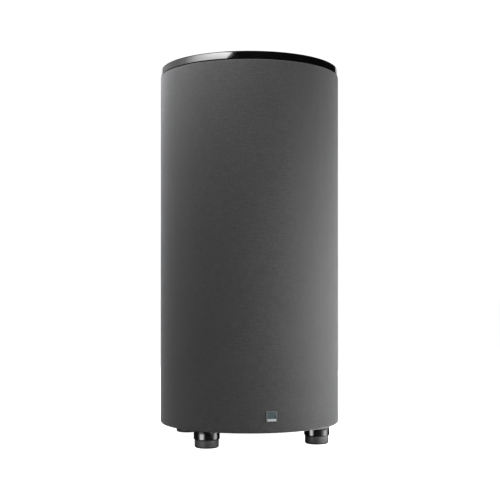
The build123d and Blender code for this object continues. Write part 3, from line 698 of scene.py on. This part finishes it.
def surround():
    """The half roll of rubber, with glued lips and a fine moulded rib beside each."""
    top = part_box("surround")[1].z
    face = top - 0.05 * MM
    lip, roll, middle = 1.5 * MM, 10 * MM, 118 * MM
    left, right = middle - roll, middle + roll
    # each lip's corners: away from the roll and up from the top, in mm
    outer_lip = ((9.4, -0.5), (9.2, -1.5), (3.0, -1.5), (2.2, -2.0), (1.2, -1.8))
    inner_lip = ((1.2, -1.8), (2.2, -2.0), (3.0, -1.5), (7.4, -1.5), (7.8, -0.6))
    outline = [Vector((left - 7.6 * MM, face)), *arc(middle, face, roll - lip, 180, 360, 28)]
    outline.append(Vector((right + 9.2 * MM, face)))
    outline += [Vector((right + away * MM, top + up * MM)) for away, up in outer_lip]
    outline += arc(middle, top, roll, -9, -171, 28)
    outline += [Vector((left - away * MM, top + up * MM)) for away, up in inner_lip]
    suspended("surround_roll", outline, "surround_rubber", "surround")


def spider():
    """The corrugated cloth disc that centres the coil."""
    low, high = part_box("spider")
    inner, outer = COIL_R + 0.15 * MM, high.x - 0.3 * MM
    middle = (low.z + high.z) / 2
    crest, half = 2.1 * MM, 0.3 * MM        # height of a wave, and half the cloth's thickness
    upper, lower = [], []
    for t in np.linspace(0, 1, 90):
        r = inner + (outer - inner) * t
        swell = math.sin(8 * math.pi * t) * crest * min(1.0, 8 * t, 6 * (1 - t))
        upper.append(Vector((r, middle + swell + half)))
        lower.append(Vector((r, middle + swell - half)))
    suspended("spider_disc", lower + upper[::-1], "spider_cloth", "spider")


def cone():
    """The paper cone: a flat land under the surround, then a side that rises to the coil."""
    low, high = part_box("cone")
    neck, flat, rim = COIL_R + 0.12 * MM, high.x - 9 * MM, high.x - 0.3 * MM
    rise = high.z - low.z - 2.6 * MM

    def side(t, offset):
        """A point of the side, which is steeper towards the coil."""
        return Vector((flat + (neck - flat) * t, low.z + rise * (t - 0.35 * t * (1 - t)) + offset))

    steps = np.linspace(0, 1, 30)
    outline = [Vector((rim, low.z)), *[side(t, 0.0) for t in steps]]
    outline += [side(t, 1.6 * MM) for t in steps[::-1]]
    outline.append(Vector((rim, low.z + 1.4 * MM)))
    piece("cone_body", *turned(outline, 192), "cone_paper", body="cone_assembly", node="cone")


def dust_dome():
    """The dust cap: a thin dome with a bead of glue round its rim."""
    low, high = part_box("dust_cap")
    rim, drop, thick, bead_r = high.x, high.z - low.z, 0.9 * MM, 1.5 * MM
    shell = [Vector((rim * t, low.z + drop * (0.62 * t ** 2 + 0.38 * t ** 4))) for t in np.linspace(0, 1, 26)]
    inner = [Vector((p.x * 0.985, p.y + thick)) for p in shell[::-1]]
    bead = arc(rim - 0.9 * MM, shell[-1].y - 1.6 * MM, bead_r, -60, 90, 8)
    outline = shell[:-1] + bead + inner[1:]
    piece("dust_dome", *turned(outline, 160), "cone_paper", body="cone_assembly", node="dust_cap")


def tinsel():
    """Two slack braids from the terminals to the cone."""
    points, faces = [], []
    knots = [(88.5, 104.0), (88.3, 98.0), (87.0, 93.4), (82.5, 89.0), (76.0, 86.8), (70.0, 86.6),
             (64.5, 84.0), (60.0, 79.0), (57.0, 74.5)]          # out and up, in mm
    for x in (-6 * MM, 6 * MM):
        path = [Vector((x, y * MM, z * MM)) for y, z in knots]
        tube_mesh(path, 0.85 * MM, 10, points, faces)
    made = piece("tinsel_pair", points, faces, "tinsel_braid", body=None, node="tinsel_leads")
    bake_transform(made)


# --- feet -------------------------------------------------------------------------------------
def feet():
    """Each foot: a polished collar over a rubber pad with a soft lower edge."""
    bore, well, well_floor = 4.2 * MM, 8.2 * MM, 22 * MM        # for the bolt and its head
    for corner in ("front_left", "front_right", "rear_left", "rear_right"):
        low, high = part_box(f"foot_collar_{corner}")
        x, y, r = (low.x + high.x) / 2, (low.y + high.y) / 2, (high.x - low.x) / 2
        pad_low, pad_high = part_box(f"foot_pad_{corner}")
        pad_r = (pad_high.x - pad_low.x) / 2
        socket, ceiling = pad_r - 2.6 * MM, high.z - 5 * MM
        outline = rounded([
            (bore, high.z, 0.3 * MM), (bore, ceiling, 0), (socket, ceiling, 0.4 * MM),
            (socket, low.z, 0.4 * MM), (r, low.z, 1.4 * MM), (r, high.z, 1.0 * MM),
        ])
        piece(f"collar_{corner}", *turned(outline, 128, x, y), "foot_collar_plastic",
              node=f"foot_collar_{corner}")
        shoulder = low.z - 0.2 * MM
        outline = rounded([
            (0.0, 0.0, 0), (pad_r, 0.0, 4.6 * MM), (pad_r, shoulder, 1.1 * MM),
            (pad_r - 2.7 * MM, shoulder, 0), (pad_r - 2.9 * MM, pad_high.z, 0.6 * MM),
            (well, pad_high.z, 0.4 * MM), (well, well_floor, 0.4 * MM), (0.0, well_floor, 0),
        ])
        piece(f"pad_{corner}", *turned(outline, 128, x, y), "foot_rubber", node=f"foot_pad_{corner}")


# --- badge ------------------------------------------------------------------------------------
def badge_bar():
    """A plain bar raised along the foot of the badge's face, and a fine step round the face."""
    low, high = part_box("badge_inset")
    front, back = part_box("badge_frame")[0].y + 0.05 * MM, low.y + 0.1 * MM
    points, faces = [], []
    box_mesh((low.x + 0.5 * MM, front, low.z + 0.2 * MM), (high.x - 0.5 * MM, back, low.z + 5.0 * MM),
             points, faces)
    made = add_mesh("badge_bar", points, faces, LOOKS["badge_bar"])
    edge = made.modifiers.new("edge", "BEVEL")
    edge.width, edge.segments = 0.12 * MM, 3
    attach(made, "cabinet")
    points, faces = [], []
    corners = [Vector((x, low.y - 0.02 * MM, z)) for x, z in
               ((low.x, low.z), (high.x, low.z), (high.x, high.z), (low.x, high.z))]
    for i, here in enumerate(corners):
        tube_mesh([here, corners[(i + 1) % 4]], 0.18 * MM, 8, points, faces)
    piece("badge_step", points, faces, "badge_metal")


# --- amplifier --------------------------------------------------------------------------------
def on_panel(u, v, w):
    """A place on the panel: u to the right and v up as seen from behind, w outward."""
    return Vector((-u, PANEL_FACE + w, AMP_Z + v))


def ring_mark(centre, radius, stroke, start, end, points, faces):
    """Adds a ring or an arc of ink, stroke thick to each side, that faces backwards."""
    angles = np.radians(np.linspace(start, end, 25))
    path = [centre + radius * Vector((-math.cos(a), 0.0, math.sin(a))) for a in angles]
    tube_mesh(path, stroke, 6, points, faces)


def bar_mark(centre, width, height, points, faces):
    """Adds a bar of ink that faces backwards."""
    half = Vector((width / 2, 0.06 * MM, height / 2))
    box_mesh(centre - half, centre + half, points, faces)


def key_marks():
    """Plain signs on the keys: a minus, a plus, a broken ring with a bar, and a dot."""
    stroke, length = 0.6 * MM, 4.4 * MM
    for name in ("standby", "select", "minus", "plus"):
        low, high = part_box(f"button_{name}")
        centre = Vector(((low.x + high.x) / 2, high.y, (low.z + high.z) / 2))
        points, faces = [], []
        if name in ("minus", "plus"):
            bar_mark(centre, length, stroke, points, faces)
        if name == "plus":
            bar_mark(centre, stroke, length, points, faces)
        if name == "standby":
            ring_mark(centre, 2.0 * MM, 0.16 * MM, 125, 415, points, faces)
            bar_mark(centre + Vector((0, 0, 1.7 * MM)), 0.5 * MM, 2.0 * MM, points, faces)
        if name == "select":
            ring_mark(centre, 0.7 * MM, 0.35 * MM, 0, 360, points, faces)
        made = add_mesh(f"sign_{name}", points, faces, LOOKS["print_ink"])
        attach(made, f"{name}_key")


def panel_print():
    """Thin printed frames round the groups of sockets, and a tick under each key."""
    points, faces = [], []
    stroke, lift = 0.35 * MM, 0.03 * MM
    half = Vector((stroke / 2, 0.04 * MM, stroke / 2))
    # frames round the phono sockets, the control sockets and the mains pieces, in mm
    for u0, u1, v0, v1 in ((-70, -24, 0, 52), (-12, 64, 0, 52), (-46, 60, -106, -64)):
        for u_a, u_b, v_a, v_b in ((u0, u1, v0, v0), (u0, u1, v1, v1), (u0, u0, v0, v1), (u1, u1, v0, v1)):
            a = on_panel(u_a * MM, v_a * MM, lift)
            b = on_panel(u_b * MM, v_b * MM, lift)
            box_mesh(Vector(map(min, a, b)) - half, Vector(map(max, a, b)) + half, points, faces)
    for u in (-42, -14, 14, 42):
        bar_mark(on_panel(u * MM, 63.5 * MM, lift), 5 * MM, 0.4 * MM, points, faces)
    made = add_mesh("panel_print", points, faces, LOOKS["print_ink"])
    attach(made, "cabinet")


def rocker_marks():
    """A bar and a ring moulded into the two ends of the mains rocker."""
    joint = joints["mains_rock"]
    pivot = Vector(joint["pos_m"])
    tilt = math.radians(joint["range_deg"][1] / 2)
    waist, slope = 3.92 * MM, 1.3 / 10.2    # of the rocker's face: its middle over the pivot, its rise
    middle, length, ring_r = 6.2 * MM, 3.6 * MM, 1.6 * MM

    def place(v, x=0.0):
        """A point on the face of the level rocker, turned to where the rocker is stored."""
        w = waist + abs(v) * slope
        across, up = w * math.cos(tilt) - v * math.sin(tilt), v * math.cos(tilt) + w * math.sin(tilt)
        return pivot + Vector((x, across, up))

    bar = [place(middle - length / 2), place(middle + length / 2)]
    turn = [2 * math.pi * k / 32 for k in range(33)]
    ring = [place(-middle + ring_r * math.sin(a), ring_r * math.cos(a)) for a in turn]
    points, faces = [], []
    for path in (bar, ring):
        tube_mesh(path, 0.2 * MM, 8, points, faces)
    made = add_mesh("rocker_signs", points, faces, LOOKS["print_ink"])
    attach(made, "mains_rocker")


# --- stage ------------------------------------------------------------------------------------
CAMERA_AZIMUTH = -13.3
CAMERA_AWAY = 2.34                      # camera to the cylinder's axis
CAMERA_HEIGHT = 0.3504                  # above the floor
CAMERA_LENS = 70.52                     # for a sensor 36 mm wide
CAMERA_TURN = -0.0006                   # radians off the cylinder's axis
HORIZON_DROP = 0.0805                   # of the picture's width, below its middle


def direction(azimuth):
    """A level direction from the axis. Azimuth 0 is the front and 90 is the right."""
    a = math.radians(azimuth)
    return Vector((math.sin(a), -math.cos(a), 0.0))


def camera():
    """The photograph's camera: level, with a small shift, so that uprights stay upright."""
    data = bpy.data.cameras.new("camera")
    data.sensor_width = 36.0
    data.lens = CAMERA_LENS
    data.shift_y = HORIZON_DROP
    data.clip_end = 100.0
    made = bpy.data.objects.new("camera", data)
    made.location = direction(CAMERA_AZIMUTH) * CAMERA_AWAY + Vector((0, 0, CAMERA_HEIGHT))
    made.rotation_euler = (math.pi / 2, 0.0, math.radians(CAMERA_AZIMUTH) + CAMERA_TURN)
    bpy.context.scene.collection.objects.link(made)
    bpy.context.scene.camera = made


def fade_light(data, fade, lean, rise):
    """Varies an area light's radiance: across it by fade, whose places shift to the right by lean
    towards its top, and up it by rise."""
    data.use_nodes = True
    nodes, links = data.node_tree.nodes, data.node_tree.links
    spot = nodes.new("ShaderNodeNewGeometry")

    def weighted(across, up, start):
        """A sum of the place across the light and the place up it."""
        dot = nodes.new("ShaderNodeVectorMath")
        dot.operation = "DOT_PRODUCT"
        dot.inputs[1].default_value = (across, up, 0.0)
        links.new(spot.outputs["Parametric"], dot.inputs[0])
        total = nodes.new("ShaderNodeMath")
        total.inputs[1].default_value = start
        links.new(dot.outputs["Value"], total.inputs[0])
        return total.outputs[0]

    ramp = nodes.new("ShaderNodeValToRGB")
    links.new(weighted(1.0, -lean, lean / 2), ramp.inputs[0])
    while len(ramp.color_ramp.elements) < len(fade):
        ramp.color_ramp.elements.new(0.5)
    for stop, (where, share) in zip(ramp.color_ramp.elements, fade):
        stop.position, stop.color = where, (share, share, share, 1)
    product = nodes.new("ShaderNodeMath")
    product.operation = "MULTIPLY"
    links.new(ramp.outputs[0], product.inputs[0])
    links.new(weighted(0.0, rise, 1.0 - rise / 2), product.inputs[1])
    links.new(product.outputs[0], nodes["Emission"].inputs["Strength"])


def softbox(name, azimuth, away, width, low, high, radiance, fade=None, lean=0.0, rise=0.0):
    """An upright area light that faces the cylinder's axis, at an azimuth counted from the camera's.
    Its radiance is even, or follows fade: pairs of place, from its left end to its right, and share."""
    data = bpy.data.lights.new(name, "AREA")
    data.shape = "RECTANGLE"
    data.size, data.size_y = width, high - low
    data.energy = radiance * math.pi * width * (high - low)
    made = bpy.data.objects.new(name, data)
    middle = Vector((0, 0, (low + high) / 2))
    made.location = middle + direction(CAMERA_AZIMUTH + azimuth) * away
    made.rotation_euler = (middle - made.location).to_track_quat("-Z", "Y").to_euler()
    made.visible_camera = False
    if fade:
        fade_light(data, fade, lean, rise)
    bpy.context.scene.collection.objects.link(made)
    return made


def seen_only(nodes, links, seen, unseen):
    """A shader that is one thing to the camera and another to the light that bounces."""
    path = nodes.new("ShaderNodeLightPath")
    mix = nodes.new("ShaderNodeMixShader")
    links.new(path.outputs["Is Camera Ray"], mix.inputs[0])
    links.new(unseen, mix.inputs[1])
    links.new(seen, mix.inputs[2])
    return mix.outputs[0]


def world():
    """A white background for the camera, and a dim, slightly blue room for everything else."""
    made = bpy.data.worlds.new("studio")
    made.use_nodes = True
    nodes, links = made.node_tree.nodes, made.node_tree.links
    bright = nodes["Background"]
    bright.inputs["Color"].default_value = (1, 1, 1, 1)
    bright.inputs["Strength"].default_value = 1.05
    dim = nodes.new("ShaderNodeBackground")
    dim.inputs["Color"].default_value = (0.5, 0.53, 0.58, 1)
    dim.inputs["Strength"].default_value = 0.006
    mixed = seen_only(nodes, links, bright.outputs[0], dim.outputs[0])
    links.new(mixed, nodes["World Output"].inputs["Surface"])
    bpy.context.scene.world = made


def floor():
    """A plain pale floor, lit to white, which lets the lights below its level reach the feet."""
    size = 30.0
    corners = [(-size, -size, 0), (size, -size, 0), (size, size, 0), (-size, size, 0)]
    mesh = bpy.data.meshes.new("floor")
    mesh.from_pydata(corners, [], [(0, 1, 2, 3)])
    made = bpy.data.objects.new("floor", mesh)
    bpy.context.scene.collection.objects.link(made)
    look = bpy.data.materials.new("floor_paint")
    look.use_nodes = True
    nodes, links = look.node_tree.nodes, look.node_tree.links
    nodes.remove(nodes["Principled BSDF"])
    matt = nodes.new("ShaderNodeBsdfDiffuse")
    matt.inputs["Color"].default_value = (0.8, 0.8, 0.8, 1)
    glow = nodes.new("ShaderNodeEmission")
    glow.inputs["Strength"].default_value = 1.0
    lit = nodes.new("ShaderNodeAddShader")
    links.new(matt.outputs[0], lit.inputs[0])
    links.new(glow.outputs[0], lit.inputs[1])
    links.new(lit.outputs[0], nodes["Material Output"].inputs["Surface"])
    mesh.materials.append(look)
    made.visible_glossy = made.visible_diffuse = made.visible_shadow = False


def lights():
    """Two panels for the disc's edge, two high keys that glossy surfaces don't mirror, softboxes on
    both sides, strips below floor level for the feet's collars, and dim walls behind. Sizes and
    heights are in metres."""
    softbox("panel_left", -50, 1.0, 1.3, 1.0, 1.2, 9, lean=0.2, rise=1.1,
            fade=((0.0, 0.15), (0.16, 0.28), (0.36, 0.62), (0.56, 0.92), (0.86, 1.0), (0.885, 0.0)))
    softbox("panel_side", -110.5, 1.0, 1.04, 1.0, 1.22, 1.4, fade=((0.0, 0.3), (0.75, 0.5), (1.0, 0.9)))
    softbox("key_high", -50, 0.8, 0.5, 1.25, 1.65, 16).visible_glossy = False
    softbox("key_near", -30, 0.45, 0.4, 1.05, 1.35, 18).visible_glossy = False
    softbox("fill_left", -60, 1.2, 0.6, 0.3, 0.9, 4)
    softbox("softbox_right", 70, 0.8, 1.0, 0.1, 0.5, 11)
    softbox("fill_right", 40, 1.2, 0.6, 0.0, 0.8, 3.2)
    softbox("rim_right", 110, 0.9, 0.5, 0.0, 0.5, 4)
    softbox("strip_left", -46, 0.8, 0.75, -0.2, -0.02, 8.5,
            fade=((0.0, 0.0), (0.25, 0.1), (0.45, 0.9), (0.7, 1.0), (1.0, 0.2)))
    softbox("strip_right", 72, 0.8, 1.1, -0.2, -0.02, 5.5,
            fade=((0.0, 0.0), (0.25, 0.25), (0.45, 1.0), (0.65, 0.8), (0.85, 0.15), (1.0, 0.05)))
    softbox("wall_low", 160, 2.0, 1.8, 0.0, 1.2, 3.5)
    softbox("wall_high", 180, 2.0, 2.6, 1.2, 2.2, 0.8)


camera()
dress_cad()
fabric_sleeve()
top_disc()
port()
wadding()
surround()
spider()
cone()
dust_dome()
tinsel()
feet()
badge_bar()
key_marks()
panel_print()
rocker_marks()
world()
floor()
lights()
bpy.context.scene.view_settings.view_transform = "Standard"
